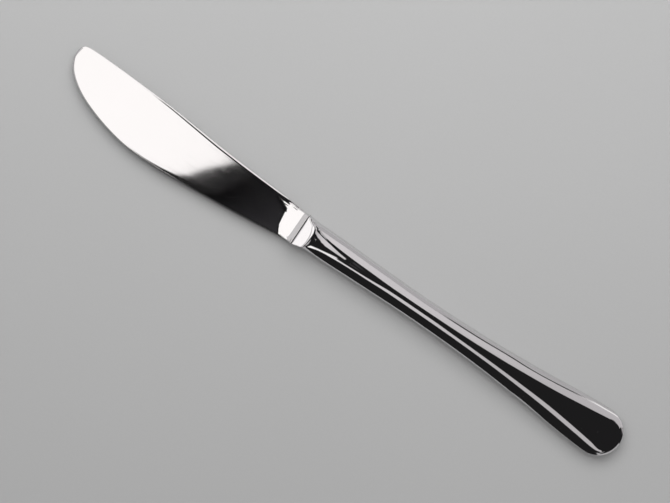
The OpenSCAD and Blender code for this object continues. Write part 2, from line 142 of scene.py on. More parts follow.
def eased(values, run, reach):
    """The same values with their corners eased over a reach along the run."""
    spacing = run[1] - run[0]
    count = max(int(round(2.5 * reach / spacing)), 1)
    weights = np.exp(-0.5 * (np.arange(-count, count + 1) * spacing / reach) ** 2)
    weights /= weights.sum()
    start = 2 * values[0] - values[count:0:-1]
    end = 2 * values[-1] - values[-2:-count - 2:-1]
    return np.convolve(np.concatenate((start, values, end)), weights, mode="valid")


# Handle. Places along it are counted in zones: 0 to 1 is the nose facet, 1 to 2 the stretch of the
# central ridge, 2 to 3 runs on to the centre of the butt and 3 to 4 round its end.
ZONE_ENDS = [0, NOSE_LENGTH, RIDGE_LENGTH, BUTT_CENTRE, HANDLE_LENGTH]
MOUTH_SHARES = [[0, 1], [0.27, 0.75], [0.55, 0.4], [0.8, 0.2], [1, 0.1], [1.15, 0]]
TAPER_SHARES = [[1.5, 0], [1.85, 0.2], [2, 0.34], [2.08, 0.56], [2.15, 0.78], [2.22, 0.95], [2.28, 1]]
FLARE_SHARES = [[2.28, 0], [2.4, 0.045], [2.48, 0.1], [2.57, 0.2], [2.64, 0.315], [2.73, 0.48],
                [2.81, 0.66], [2.885, 0.83], [2.96, 0.955], [3, 1]]
NECK_LEVEL_SHARES = [[0, 0.84], [1, 0.85], [1.18, 0.9], [1.36, 0.945], [1.6, 0.985], [2, 1]]
BUTT_LEVEL_SHARES = [[2.5, 0], [2.65, 0.12], [2.73, 0.24], [2.81, 0.42], [2.885, 0.63], [2.97, 0.86],
                     [3, 0.92], [3.3, 1.05], [3.6, 1.25], [3.8, 1.36], [4, 1.38]]
SIDE_RISE_SHARES = [[0, 0.68], [2.57, 0.66], [2.73, 0.46], [2.9, 0.38], [3, 0.4], [3.3, 0.55], [3.5, 0.63],
                    [3.64, 0.84], [3.74, 0.96], [4, 1]]
SIDE_SHARES = [[0, 0.36], [1, 0.4], [1.2, 0.65], [1.5, 1], [2.57, 1], [2.73, 0.44], [2.9, 0.36], [3, 0.31],
               [3.5, 0.7], [4, 2.2]]
CREST_SHARES = [[0, 0.83], [1, 0.83], [1.1, 0.734], [1.2, 0.617], [1.36, 0.511], [1.52, 0.47], [1.75, 0.41],
                [2, 0.374], [2.08, 0.339], [2.154, 0.295], [2.24, 0.308], [2.32, 0.316], [2.4, 0.328],
                [2.57, 0.39], [2.73, 0.459], [2.81, 0.502], [2.885, 0.563], [2.97, 0.64], [3, 0.677],
                [3.17, 0.69], [3.34, 0.73], [3.5, 0.8], [3.64, 0.92], [3.74, 0.98], [4, 0.98]]
FOOT_SHARES = [[0, 0.88], [1, 0.88], [1.2, 0.87], [1.36, 0.85], [1.56, 0.8], [1.78, 0.77], [2, 0.72],
               [2.08, 0.57], [2.154, 0.24], [2.24, 0.18], [2.32, 0.18], [2.4, 0.31], [2.48, 0.39],
               [2.64, 0.52], [2.81, 0.61],
               [2.885, 0.68], [3, 0.77], [3.34, 0.8], [3.5, 0.87], [3.64, 0.94], [3.74, 0.97], [4, 0.97]]
RIDGE_FOOT_SHARES = [[0, 0.8], [1, 0.86], [1.36, 0.93], [1.57, 0.71], [1.79, 0.47], [2, 0.4],
                     [2.1, 0.5], [4, 0.5]]
# Depth of the sunk panel at the foot of the inner slope, and where the ridge stands on its floor
PANEL_END = [[2.077, 0.42], [2.173, 0.656], [2.27, 0.7], [2.365, 0.695], [2.48, 0.66], [2.606, 0.743],
             [2.673, 0.82], [2.721, 0.88], [2.779, 0.954], [2.846, 1.01], [2.9, 1.04], [3, 1], [3.3, 0.75],
             [3.6, 0.3], [3.8, 0], [4, 0]]
SLOPE_DEPTH_SHARES = [[0, 0], [1, 0], [1.11, 0.22], [1.222, 0.265], [1.333, 0.26], [1.556, 0.31],
                      [1.778, 0.31], [2.019, 0.335]] + PANEL_END
DEPTH_SHARES = [[0, 0], [1, 0], [1.08, 0.3], [1.2, 0.5], [1.5, 0.56], [1.85, 0.52]] + PANEL_END
RIDGE_SHARES = [[0, 0.7], [1, 0.8], [1.18, 0.92], [1.36, 0.8], [1.46, 0.73], [1.57, 0.58], [1.68, 0.44],
                [1.79, 0.29], [1.9, 0.13], [2, 0], [4, 0]]
# How far in from the joint the nose facet reaches, as a share of its length, by share of the half width
NOSE_BACK_SHARES = [[0, 0.96], [0.18, 0.915], [0.645, 0.63], [0.82, 0.2], [0.93, 0.03], [1, 0.03]]
NOSE_FRONT_SHARES = [[0, 0.96], [0.32, 1], [0.6, 0.97], [0.81, 0.92], [0.93, 0.86], [0.97, 0.7], [1, 0.05]]
# Width of the rolled lip past that end, on the same scale
LIP_BACK = [[0, 0.5], [0.1, 0.65], [0.3, 1.0], [0.55, 1.2], [0.8, 0.8], [1, 0.4]]
LIP_FRONT = [[0, 0.5], [0.15, 0.4], [0.5, 0.2], [0.8, 0.08], [1, 0.03]]
# How far the top of the ridge lies on the side of the blade's back, along the handle
RIDGE_SHIFT = [[0, 1.4], [4, 1.4], [5, 1.3], [6.5, 0.6], [8, 0.2], [10, 0], [140, 0]]

RUN_STEP = 0.1
RUNS = np.arange(0, HANDLE_LENGTH + RUN_STEP / 2, RUN_STEP)
RUN_EASE = 1.6


def place_of(run):
    return np.interp(run, ZONE_ENDS, range(len(ZONE_ENDS)))


def along(table, start_eased=NOSE_LENGTH):
    """A table of shares by place, as values along the handle, with the corners eased past the nose."""
    values = curve(table, place_of(RUNS))
    soft = eased(values, RUNS, RUN_EASE)
    share = np.clip((RUNS - start_eased) / (2 * RUN_EASE), 0, 1)
    return mix(values, soft, share)


def half_width(mouth):
    place = place_of(RUNS)
    neck = mix(NECK_HALF, mouth, curve(MOUTH_SHARES, place))
    taper = mix(NECK_HALF, WAIST_HALF, curve(TAPER_SHARES, place))
    flare = mix(WAIST_HALF, BUTT_HALF, curve(FLARE_SHARES, place))
    half = np.where(place < MOUTH_SHARES[-1][0], neck, np.where(place < TAPER_SHARES[-1][0], taper, flare))
    share = np.clip((RUNS - NOSE_LENGTH) / (2 * RUN_EASE), 0, 1)
    return mix(half, eased(half, RUNS, RUN_EASE), share)


HALF_BACK = half_width(COLLAR_BACK)
HALF_FRONT = half_width(COLLAR_FRONT)
NECK_LEVEL = CREST_LEVEL * along(NECK_LEVEL_SHARES)
LEVEL = np.where(place_of(RUNS) < BUTT_LEVEL_SHARES[0][0], NECK_LEVEL,
                 mix(NECK_LEVEL, BUTT_LEVEL, along(BUTT_LEVEL_SHARES)))
SIDE = SIDE_RUN * along(SIDE_SHARES)
SIDE_RISE = along(SIDE_RISE_SHARES)
CREST = along(CREST_SHARES)
FOOT = along(FOOT_SHARES)
RIDGE_FOOT = along(RIDGE_FOOT_SHARES)
SLOPE_DEPTH = PANEL_DEPTH * along(SLOPE_DEPTH_SHARES)
DEPTH = PANEL_DEPTH * along(DEPTH_SHARES)
RIDGE = RIDGE_RISE * along(RIDGE_SHARES)

# Lines across the section, counted from the rim: 0 to 3 is the rounded side, 4 the crest line, 5 the foot
# of its inner slope, 6 the foot of the ridge and 7 the axis
SIDE_LINES = [0, 0.001] + [3 * i / 12 for i in range(1, 13)]
OUTER_LINES = [3 + s for s in (0.12, 0.28, 0.45, 0.62, 0.78, 0.9, 0.965, 1)]
INNER_LINES = [4 + s for s in (0.07, 0.2, 0.4, 0.6, 0.8, 0.93, 1)]
FLOOR_LINES = [5 + s for s in (0.1, 0.35, 0.65, 0.9, 1)]
RIDGE_LINES = [6 + s for s in (0.1, 0.3, 0.55, 0.8, 0.94, 1)]
LINES = np.array(SIDE_LINES + OUTER_LINES + INNER_LINES + FLOOR_LINES + RIDGE_LINES)


def settled(run, reach):
    """How far the handle has settled from the end of the nose facet into its full section."""
    share = np.clip((run - reach) / (SETTLE_LENGTH - reach), 0, 1)
    return share * share * (3 - 2 * share)


# Slopes at the two ends of the outer slope's bow, as shares of its height
STEEPEST_START = 2.6
LEAST_END = 0.6


def section(run, r, lines, nose, back):
    """Distance from the axis and level over the rim of the section's lines, where the rib is r long."""
    reach, lip = nose
    share = settled(run, reach + NOSE_STEP_RUN + lip)
    side, crest_level = np.interp(run, RUNS, SIDE), np.interp(run, RUNS, LEVEL)
    crest = (r - side) * np.interp(run, RUNS, CREST)
    foot = crest * np.interp(run, RUNS, FOOT)
    ridge_foot = foot * np.interp(run, RUNS, RIDGE_FOOT)
    foot_level = crest_level - np.interp(run, RUNS, SLOPE_DEPTH)
    floor_level = crest_level - np.interp(run, RUNS, DEPTH)
    # The ridge peaks on one side of the axis near the nose, so the axis lies a little under its top
    shift = np.interp(run, *np.array(RIDGE_SHIFT, float).T) / np.maximum(ridge_foot, 0.1)
    low = 1 / (1 + shift)
    s = np.clip(lines - 6, 0, 1)
    profile = np.where(s < 1 - shift, s / (1 - shift), 1 - (1 - low) * (s - 1 + shift) / np.maximum(shift, 1e-6))
    ridge = np.interp(run, RUNS, RIDGE) * (np.where(shift > 0.001, profile, s) if back else s * low)
    side_level = crest_level * np.interp(run, RUNS, SIDE_RISE)
    # At the mouth the rounded side ends flat, in the plane of the facet
    facet = CREST_LEVEL * NOSE_LEVEL_SHARE + NOSE_DROP / NOSE_LENGTH * np.minimum(run, reach)
    facet = facet + NOSE_STEP * np.clip((run - reach) / NOSE_STEP_RUN, 0, 1)
    facet = facet + LIP_SLOPE * np.clip(run - reach - NOSE_STEP_RUN, 0, lip)
    full_turn = mix(math.pi / 2, SIDE_TURN, share)
    turn = full_turn * np.minimum(lines, 3) / 3
    out = r - side * (1 - np.cos(turn)) / (1 - np.cos(full_turn))
    rise = np.where(lines > 0, mix(WALL_SHARE, 1, np.sin(turn) / np.sin(full_turn)), 0)
    level = mix(facet, side_level, share) * rise
    # The outer slope leaves the rounded side in line with it and flattens a little towards the crest
    side_out = r - side
    s = np.clip(lines - 3, 0, 1)
    slope = side_level * (1 - WALL_SHARE) * (1 - np.cos(SIDE_TURN)) / np.tan(SIDE_TURN) / (
        side * np.sin(SIDE_TURN))
    width, height = side_out - crest, crest_level - side_level
    start = np.minimum(slope * width, STEEPEST_START * height)
    end = np.maximum(2 * height - start, LEAST_END * height)
    bow = start * s * (1 - s) ** 2 + height * s * s * (3 - 2 * s) - end * s * s * (1 - s)
    parts = [
        (lines > 3, side_out - width * s, side_level + bow),
        (lines > 4, mix(crest, foot, np.clip(lines - 4, 0, 1)),
         mix(crest_level, foot_level, np.clip(lines - 4, 0, 1))),
        (lines > 5, mix(foot, ridge_foot, np.clip(lines - 5, 0, 1)),
         mix(foot_level, floor_level, np.clip(lines - 5, 0, 1))),
        (lines > 6, mix(ridge_foot, 0, np.clip(lines - 6, 0, 1)), floor_level + ridge),
    ]
    for where, new_out, new_level in parts:
        out = np.where(where, new_out, out)
        level = np.where(where, mix(facet, new_level, share), level)
    return out, level


NOSE_RIBS = 8
RIDGE_RIBS = 44
RIDGE_RIB_POWER = 1.5  # brings the ribs closer together at the nose
BODY_RIBS = 104
TURN_RIBS = 20
STRAIGHT_RIBS = NOSE_RIBS + RIDGE_RIBS + BODY_RIBS
LAST = STRAIGHT_RIBS + TURN_RIBS


def nose_shape(lines, mouth, back):
    """How far in the nose facet reaches on each line, and the width of the lip past it."""
    none = np.zeros(lines.shape)
    out, _ = section(0, mouth, lines, (none, none), back)
    reach, lip = (NOSE_BACK_SHARES, LIP_BACK) if back else (NOSE_FRONT_SHARES, LIP_FRONT)
    return (NOSE_LENGTH * np.interp(out / mouth, *np.array(reach, float).T),
            np.interp(out / mouth, *np.array(lip, float).T))


def rib_runs(i, reach):
    """How far from the joint each line of rib i is. The first ribs follow the end of the nose facet."""
    if i <= NOSE_RIBS:
        return reach * i / NOSE_RIBS
    if i <= NOSE_RIBS + RIDGE_RIBS:
        return mix(reach, RIDGE_LENGTH, ((i - NOSE_RIBS) / RIDGE_RIBS) ** RIDGE_RIB_POWER)
    share = min((i - NOSE_RIBS - RIDGE_RIBS) / BODY_RIBS, 1)
    return np.full(reach.shape, mix(RIDGE_LENGTH, BUTT_CENTRE, share))


def half_skin(side, inset):
    """Points of one side of the handle's skin, rib by rib from the mouth to the end of the butt."""
    mouth = COLLAR_BACK if side < 0 else COLLAR_FRONT
    halves = HALF_BACK if side < 0 else HALF_FRONT
    nose = nose_shape(LINES, mouth, side < 0)
    points = np.zeros((LAST + 1, len(LINES), 3))
    for i in range(LAST + 1):
        run = rib_runs(i, nose[0])
        angle = math.pi / 2 * max(i - STRAIGHT_RIBS, 0) / TURN_RIBS
        half = np.interp(run, RUNS, halves)
        r = np.hypot(half * math.cos(angle), (HANDLE_LENGTH - BUTT_CENTRE) * math.sin(angle))
        place = run + (HANDLE_LENGTH - BUTT_CENTRE) * math.sin(angle)
        out, level = section(place, r, LINES, nose, side < 0)
        out = out * (1 - inset / r)
        level = level * (1 - inset / section(place, r, np.full(LINES.shape, 6.0), nose, side < 0)[1])
        way = np.array([half[-1] * math.cos(angle), (HANDLE_LENGTH - BUTT_CENTRE) * math.sin(angle)])
        way = way / np.linalg.norm(way)
        points[i, :, 0] = -JOINT_GAP - run - out * way[1]
        points[i, :, 1] = side * out * way[0]
        points[i, :, 2] = RIM_LEVEL + level
    return points


def skin(inset):
    """One skin as (points, faces, index of the rim points, index of the mouth points)."""
    back, front = half_skin(-1, inset), half_skin(1, inset)
    ribs = np.concatenate((back, front[-2::-1]))
    count, wide = ribs.shape[0], ribs.shape[1] - 1
    axis = back[:STRAIGHT_RIBS + 1, -1]
    points = np.concatenate((ribs[:, :-1].reshape(-1, 3), axis))

    def index(j, k):
        if k < wide:
            return j * wide + k
        return count * wide + min(min(j, 2 * LAST - j), STRAIGHT_RIBS)

    faces = []
    for j in range(count - 1):
        for k in range(wide):
            face = (index(j, k), index(j + 1, k), index(j + 1, k + 1), index(j, k + 1))
            faces.append(tuple(dict.fromkeys(face)))
    rim = [index(j, 0) for j in range(count)]
    mouth = [index(0, k) for k in range(wide + 1)] + [index(count - 1, k) for k in range(wide - 1, -1, -1)]
    return points, faces, rim, mouth


# Blade
BACK_ROOT_SHARES = [0.033, 0.085, 0.14, 0.2]
EDGE_ROOT_SHARES = [0.04, 0.083, 0.144, 0.29]
BACK_SHARES = [[0.092, 0.27], [0.208, 0.37], [0.325, 0.5], [0.441, 0.655], [0.546, 0.79], [0.639, 0.873],
               [0.721, 0.927], [0.79, 0.964], [0.849, 0.99], [0.895, 1], [0.93, 1], [0.959, 0.98],
               [0.979, 0.91], [0.988, 0.82]]
EDGE_SHARES = [[0.092, 0.46], [0.208, 0.654], [0.325, 0.827], [0.441, 0.98], [0.546, 1]]
BELLY_SHARES = [[0.639, 0.956], [0.732, 0.82], [0.814, 0.636], [0.884, 0.421], [0.936, 0.175]]
TIP_SHARES = [[0.971, 0.073], [0.992, 0.345], [1, 0.6], [0.9925, 0.864]]
STEP_SHARES = [[0, 1], [0.1, 0.97], [0.5, 0.52], [0.9, 0.06], [1, 0]]
RAMP_SHARES = [[0, 1], [0.3, 0.66], [0.6, 0.34], [0.9, 0.05], [1, 0]]
REACH_SHARES = [[-1, 1.3], [-0.85, 1.9], [-0.65, 1.2], [-0.4, 1], [0, 0.95], [0.6, 0.85], [0.9, 0.65],
                [1, 0.6]]


def root_knots(half, far, shares):
    runs = [STEP_LENGTH, STEP_LENGTH + RAMP_LENGTH / 2, STEP_LENGTH + RAMP_LENGTH, FLAT_START]
    return [[0, half]] + [[run, mix(half, far, share)] for run, share in zip(runs, shares)]


def blade_run(share):
    return mix(FLAT_START, BLADE_LENGTH, share)


BACK_PATH = root_knots(COLLAR_BACK, BACK_RISE, BACK_ROOT_SHARES) + [
    [blade_run(a), mix(COLLAR_BACK, BACK_RISE, b)] for a, b in BACK_SHARES]
EDGE_PATH = root_knots(COLLAR_FRONT, BELLY_DROP, EDGE_ROOT_SHARES) + [
    [blade_run(a), mix(COLLAR_FRONT, BELLY_DROP, b)] for a, b in EDGE_SHARES] + [
    [blade_run(a), BELLY_DROP * b] for a, b in BELLY_SHARES] + [
    [blade_run(a), -BACK_RISE * b] for a, b in TIP_SHARES]


def collar_section():
    """Level of the bolster at the joint, by distance from the axis: it follows the handle's mouth."""
    back, front = half_skin(-1, 0)[0], half_skin(1, 0)[0]
    across = np.concatenate((back[:, 1], front[-2::-1, 1]))
    level = np.concatenate((back[:, 2], front[-2::-1, 2]))
    return across, level


COLLAR_ACROSS, COLLAR_LEVELS = collar_section()
JOINT_EASE, JOINT_EASE_RUN = 0.035, 0.2
RAMP_TOP = RAMP_RISE / (COLLAR_LEVELS.max() - HEEL_THICKNESS / 2)


def collar_left(x, v):
    """How much of the collar's height is left at x from the joint and v across."""
    step = mix(RAMP_TOP, 1, curve(STEP_SHARES, np.clip(x / STEP_LENGTH, 0, 1)))
    reach = RAMP_LENGTH * curve(REACH_SHARES, v)
    ramp = RAMP_TOP * curve(RAMP_SHARES, np.clip((x - STEP_LENGTH) / reach, 0, 1))
    return np.where(x <= STEP_LENGTH, step, ramp)


# The back is rounded up to a narrow slanted facet, which meets the flat of the blade
ROUND_LINES = [i / 8 for i in range(9)]
ROUND_TURN = math.radians(80)
FACET_START, FACET_START_DROP = 0.16, 0.3375
FACET_LINES = [0.2, 0.39, 0.58, 0.62, 0.68, 0.85, 1]
FACET_DROPS = [[FACET_START, FACET_START_DROP], [0.62, 0.05], [1, 0]]
FLAT_LINES = [0.01, 0.04, 0.09, 0.16, 0.25, 0.35, 0.45, 0.55, 0.65, 0.74, 0.8, 0.84, 0.87, 0.9, 0.925, 0.95,
              0.97, 0.985]
BEVEL_LINES = [0, 0.06, 0.3, 0.7, 0.94, 1]
KNOT_RIBS = 14
STEP_RIBS = 30
LEAST_SLANT_SHARE = 0.4
WIDEST_ROUNDING = 0.3  # of the blade's width, as the bevel's below
WIDEST_BEVEL = 0.35


def blade_ribs():
    """Both faces of the blade as a grid of points: ribs from the joint to the tip, lines from the back."""
    knots = len(EDGE_PATH) - 1
    t = np.concatenate((np.linspace(0, 1, STEP_RIBS), 1 + np.arange(1, KNOT_RIBS * (knots - 1) + 1) / KNOT_RIBS))
    back, edge = path(BACK_PATH, t), path(EDGE_PATH, t)
    back = back * [1, -1]
    ahead, behind = path(EDGE_PATH, np.minimum(t + 0.1, knots)), path(EDGE_PATH, np.maximum(t - 0.1, 0))
    tangent = (ahead - behind) / np.linalg.norm(ahead - behind, axis=1, keepdims=True)
    width = np.linalg.norm(edge - back, axis=1)
    way = (edge - back) / width[:, None]
    slant = np.abs(way[:, 0] * tangent[:, 1] - way[:, 1] * tangent[:, 0])
    rounding = np.minimum(np.interp(back[:, 0], *np.array(BACK_FACETS).T), WIDEST_ROUNDING * width)
    bevel = np.minimum(BEVEL_WIDTH / np.maximum(slant, LEAST_SLANT_SHARE), WIDEST_BEVEL * width)
    far = width - bevel
    thick = mix(HEEL_THICKNESS, TIP_THICKNESS, np.clip(back[:, 0] / BLADE_LENGTH, 0, 1)) / 2
    outs, levels = [], []
    for s in ROUND_LINES:
        outs.append(rounding * FACET_START * (1 - math.cos(s * ROUND_TURN)) / (1 - math.cos(ROUND_TURN)))
        levels.append((thick - rounding * FACET_START_DROP) * math.sin(s * ROUND_TURN) / math.sin(ROUND_TURN))
    for s in FACET_LINES:
        outs.append(rounding * s)
        levels.append(thick - rounding * np.interp(s, *np.array(FACET_DROPS).T))
    for s in FLAT_LINES:
        outs.append(mix(rounding, far, s))
        left = (far - rounding) * (1 - s)
        roll = EDGE_ROLL * np.clip(1 - left / ROLL_WIDTH, 0, 1) ** 2
        levels.append(mix(thick, BEVEL_THICKNESS / 2 + EDGE_ROLL, s) - roll)
    for s in BEVEL_LINES:
        outs.append(mix(far, width, s))
        levels.append(np.full(t.shape, mix(BEVEL_THICKNESS / 2, EDGE_LAND / 2, s)))
    outs, levels = np.array(outs).T, np.array(levels).T
    x = back[:, :1] + way[:, :1] * outs
    y = back[:, 1:] + way[:, 1:] * outs
    half = np.where(y < 0, COLLAR_BACK, COLLAR_FRONT)
    left = collar_left(x, np.clip(y / half, -1, 1))
    collar = np.maximum(np.interp(y, COLLAR_ACROSS, COLLAR_LEVELS), EDGE_LAND / 2)
    z = mix(levels, collar, left) * (1 - JOINT_EASE * np.clip(1 - x / JOINT_EASE_RUN, 0, 1))
    z[:, 0] = 0
    return np.stack((x, y, z), axis=2)


# Making meshes

def placed(points):
    points = np.array(points, float)
    return (points + [JOINT_X, AXIS_Y, MIDDLE_Z]) * MM


def linked(name, data):
    """A new object that holds the data, in the scene."""
    made = bpy.data.objects.new(name, data)
    bpy.context.scene.collection.objects.link(made)
    return made


def piece(name, points, faces, replaced, smooth=True):
    mesh = bpy.data.meshes.new(name)
    mesh.from_pydata(placed(points).tolist(), [], faces)
    mesh.validate()
    shape = bmesh.new()
    shape.from_mesh(mesh)
    bmesh.ops.recalc_face_normals(shape, faces=shape.faces)
    shape.to_mesh(mesh)
    shape.free()
    mesh.update()
    for polygon in mesh.polygons:
        polygon.use_smooth = smooth
    made = linked(name, mesh)
    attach(made, "root")
    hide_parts(replaced)
    return made


def bridge(first, second):
    """Faces between two rows of points."""
    return [(first[i], first[i + 1], second[i + 1], second[i]) for i in range(len(first) - 1)]


def make_shell(name, flip):
    outer, outer_faces, rim, mouth = skin(0)
    inner, inner_faces, _, _ = skin(SHELL_WALL)
    count = len(outer)
    points = np.concatenate((outer, inner))
    faces = list(outer_faces)
    faces += [tuple(v + count for v in reversed(f)) for f in inner_faces]
    edge_faces = bridge(rim, [v + count for v in rim])
    faces += [tuple(reversed(f)) for f in edge_faces]
    faces += bridge(mouth, [v + count for v in mouth])
    if flip:
        points = points * [1, 1, -1]
        points[:, 2] = np.maximum(points[:, 2], -LAND_LEVEL)
        faces = [tuple(reversed(f)) for f in faces]
    made = piece(name, points, faces, name)
    flat = len(edge_faces) + len(mouth) - 1
    for polygon in made.data.polygons[-flat:]:
        polygon.use_smooth = False
    return made


def make_blade():
    upper = blade_ribs()
    lower = upper[:, -1:0:-1] * [1, 1, -1]
    rings = np.concatenate((upper, lower), axis=1)
    count, ring = rings.shape[:2]
    faces = []
    for j in range(count - 1):
        for i in range(ring):
            a, b = j * ring + i, j * ring + (i + 1) % ring
            faces.append((a, b, b + ring, a + ring))
    faces.append(tuple(reversed(range(ring))))
    faces.append(tuple((count - 1) * ring + i for i in range(ring)))
    return piece("blade", rings.reshape(-1, 3), faces, "blade")


def make_braze():
    outer, inner = skin(0)[0], skin(SHELL_WALL)[0]
    rim = skin(0)[2]
    rows = []
    for level in (-RIM_LEVEL, RIM_LEVEL):
        for points in (outer, inner):
            row = points[rim].copy()
            row[:, 2] = level
            rows.append(row)
    n = len(rim)
    start = [[r * n + i for i in range(n)] for r in range(4)]
    around = [0, 1, 3, 2]
    faces = []
    for a, b in zip(around, around[1:] + around[:1]):
        faces += bridge(start[a], start[b])
    faces.append(tuple(start[r][0] for r in reversed(around)))
    faces.append(tuple(start[r][-1] for r in around))
    return piece("seam_braze", np.concatenate(rows), faces, "seam_braze", smooth=False)


PLUG_SHARES = [0, 0.8, 0.78]  # of the joint's outline, across and up
PLUG_RUNS = (6, 14, 22, 34, TANG_LENGTH + CEMENT_OVERHANG)


def make_cement():
    """The layer that shows in the joint, and the plug behind it."""
    mouth = np.array([[0, y, z] for y, z in zip(COLLAR_ACROSS, COLLAR_LEVELS)])
    ring = np.concatenate((mouth, mouth[::-1] * [1, 1, -1]))
    inside = ring * PLUG_SHARES
    stations = [ring, ring + [-JOINT_GAP, 0, 0], inside + [-JOINT_GAP, 0, 0]]
    for run in PLUG_RUNS:
        grow = np.interp(run, RUNS, HALF_BACK) / COLLAR_BACK
        stations.append(inside * [1, min(grow, 1), 1] + [-JOINT_GAP - run, 0, 0])
    points = np.concatenate(stations)
    n = len(ring)
    faces = []
    for j in range(len(stations) - 1):
        for i in range(n):
            a, b = j * n + i, j * n + (i + 1) % n
            faces.append((a, a + n, b + n, b))
    faces.append(tuple(range(n)))
    faces.append(tuple(reversed(range(len(points) - n, len(points)))))
    return piece("tang_cement", points, faces, "tang_cement", smooth=False)


# Materials

class Shader:
    """A node material, written as calls."""

    def __init__(self, name):
        self.material = bpy.data.materials.new(name)
        self.material.use_nodes = True
        self.nodes = self.material.node_tree.nodes
        self.links = self.material.node_tree.links
        self.nodes.clear()
        self.out = self.nodes.new("ShaderNodeOutputMaterial")

    def node(self, kind, inputs=None, **settings):
        made = self.nodes.new(kind)
        for key, value in settings.items():
            setattr(made, key, value)
        for key, value in (inputs or {}).items():
            if isinstance(value, bpy.types.NodeSocket):
                self.links.new(value, made.inputs[key])
            else:
                made.inputs[key].default_value = value
        return made

    def place(self, scale=(1, 1, 1), turn=0):
        """Object coordinates, stretched and turned about the axis that points up."""
        coordinates = self.node("ShaderNodeTexCoord")
        mapping = self.node("ShaderNodeMapping", {"Scale": scale, "Rotation": (0, 0, turn)})
        self.links.new(coordinates.outputs["Object"], mapping.inputs["Vector"])
        return mapping.outputs["Vector"]

    def noise(self, vector, scale, detail=2.0, roughness=0.5):
        made = self.node("ShaderNodeTexNoise", {"Vector": vector, "Scale": scale, "Detail": detail,
                                                "Roughness": roughness})
        return made.outputs["Fac"]

    def ramp(self, value, low, high, to_low=0.0, to_high=1.0):
        made = self.node("ShaderNodeMapRange", {"Value": value, "From Min": low, "From Max": high,
                                                "To Min": to_low, "To Max": to_high}, clamp=True)
        return made.outputs["Result"]

    def math(self, operation, a, b):
        return self.node("ShaderNodeMath", {0: a, 1: b}, operation=operation).outputs[0]

    def colours(self, value, first, second):
        made = self.node("ShaderNodeMix", {"Factor": value}, data_type="RGBA")
        made.inputs["A"].default_value = (*first, 1)
        made.inputs["B"].default_value = (*second, 1)
        return made.outputs["Result"]

    def rough_surface(self, base, rough, height, strength, distance, metallic=1.0):
        """The finished material, with a bump of that height."""
        bump = self.node("ShaderNodeBump", {"Height": height, "Strength": strength, "Distance": distance})
        made = self.node("ShaderNodeBsdfPrincipled", {"Base Color": base, "Metallic": metallic,
                                                      "Roughness": rough, "Normal": bump.outputs["Normal"]})
        return self.finish(made.outputs["BSDF"])

    def finish(self, surface):
        self.links.new(surface, self.out.inputs["Surface"])
        return self.material


def hairlines(shader, turn, scale, stretch, rare):
    """Fine straight scratches in one direction: thin streaks of a stretched noise."""
    vector = shader.place((scale / stretch, scale, scale / stretch), turn)
    streaks = shader.noise(vector, 1.0, 1.0, 0.4)
    return shader.ramp(streaks, rare, rare + 0.05)


def polished_steel(name, colour, roughness, scratch, grind_turn, grind, streak):
    """Mirror polish with cloudy wear, a fine grind in one direction and rare use scratches."""
    shader = Shader(name)
    clouds = shader.noise(shader.place(), 90, 3.0, 0.55)
    fine = shader.noise(shader.place((900, 26000, 900), grind_turn), 1.0, 2.0, 0.6)
    marks = hairlines(shader, 0.4, 5000, 60, 0.72)
    for turn in (1.1, 1.9, 2.7):
        marks = shader.math("MAXIMUM", marks, hairlines(shader, turn, 4200, 55, 0.73))
    rough = shader.ramp(clouds, 0.3, 0.75, roughness * 0.8, roughness * 1.25)
    rough = shader.math("ADD", rough, shader.math("MULTIPLY", marks, 0.05))
    base = shader.colours(shader.ramp(clouds, 0.25, 0.8), tuple(c * 0.985 for c in colour), colour)
    streaks = shader.noise(shader.place((120, 1500, 120), grind_turn), 1.0, 3.0, 0.6)
    fine = shader.math("ADD", shader.math("MULTIPLY", fine, grind), shader.math("MULTIPLY", streaks, streak))
    height = shader.math("ADD", fine, shader.math("MULTIPLY", marks, -scratch))
    return shader.rough_surface(base, rough, height, 1.0, 1e-6)


def ground_steel(name):
    """The bevel at the cutting edge, ground across its width."""
    shader = Shader(name)
    lines = shader.noise(shader.place((30000, 1500, 1500)), 1.0, 2.0, 0.5)
    rough = shader.ramp(lines, 0.3, 0.7, 0.2, 0.32)
    base = shader.colours(lines, (0.5, 0.5, 0.5), (0.57, 0.57, 0.57))
    return shader.rough_surface(base, rough, lines, 0.6, 4e-6)


def braze_metal():
    shader = Shader("polished_braze")
    grain = shader.noise(shader.place(), 3000, 2.0, 0.6)
    base = shader.colours(grain, (0.5, 0.48, 0.43), (0.66, 0.64, 0.6))
    rough = shader.ramp(grain, 0.3, 0.7, 0.18, 0.3)
    return shader.rough_surface(base, rough, grain, 0.3, 5e-6)


def cement():
    shader = Shader("handle_cement")
    grain = shader.noise(shader.place(), 2500, 4.0, 0.65)
    base = shader.colours(grain, (0.012, 0.011, 0.01), (0.035, 0.032, 0.03))
    rough = shader.ramp(grain, 0.3, 0.7, 0.75, 0.95)
    return shader.rough_surface(base, rough, grain, 0.5, 2e-5, metallic=0.0)


def floor_paper():
    shader = Shader("floor_paper")
    fibre = shader.noise(shader.place(), 1200, 4.0, 0.6)
    clouds = shader.noise(shader.place(), 6, 2.0, 0.5)
    grain = shader.math("ADD", shader.math("MULTIPLY", fibre, 0.5), shader.math("MULTIPLY", clouds, 0.5))
    base = shader.colours(shader.ramp(grain, 0.3, 0.7), (0.5, 0.5, 0.5), (0.52, 0.52, 0.52))
    paper = shader.node("ShaderNodeBsdfPrincipled", {"Base Color": base, "Roughness": 0.9})
    return shader.finish(paper.outputs["BSDF"])


# Making the pieces
blade = make_blade()
upper_shell = make_shell("handle_shell_upper", False)
lower_shell = make_shell("handle_shell_lower", True)
braze = make_braze()
tang_cement = make_cement()

